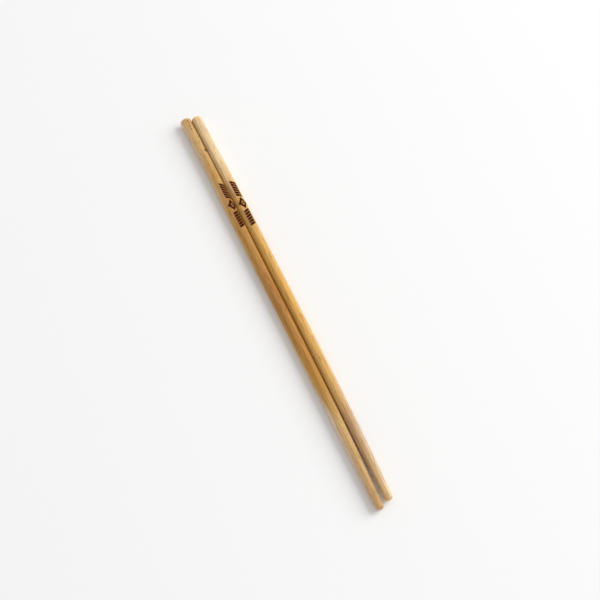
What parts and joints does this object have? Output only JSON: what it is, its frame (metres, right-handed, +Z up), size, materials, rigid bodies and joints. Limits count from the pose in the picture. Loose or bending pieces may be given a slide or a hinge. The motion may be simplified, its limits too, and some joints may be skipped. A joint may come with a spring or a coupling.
{
  "type": "bamboo chopsticks",
  "caption": "Pair of round bamboo chopsticks lying side by side, with flat heads, a burnt-in ornament on each shank and a long taper to a rounded tip.",
  "frame": {"origin": "on the surface that the sticks lie on, below the middle of the left stick's length and halfway between the two shanks", "axes": "+X along the sticks from head to tip, +Y from the left stick to the right one, +Z up"},
  "size_m": [0.2314, 0.011, 0.0055],
  "materials": {
    "bamboo": "fine sanded, unvarnished"
  },
  "bodies": {
    "root": {"left_chopstick": "bamboo", "right_chopstick": "bamboo"}
  },
  "joints": []
}
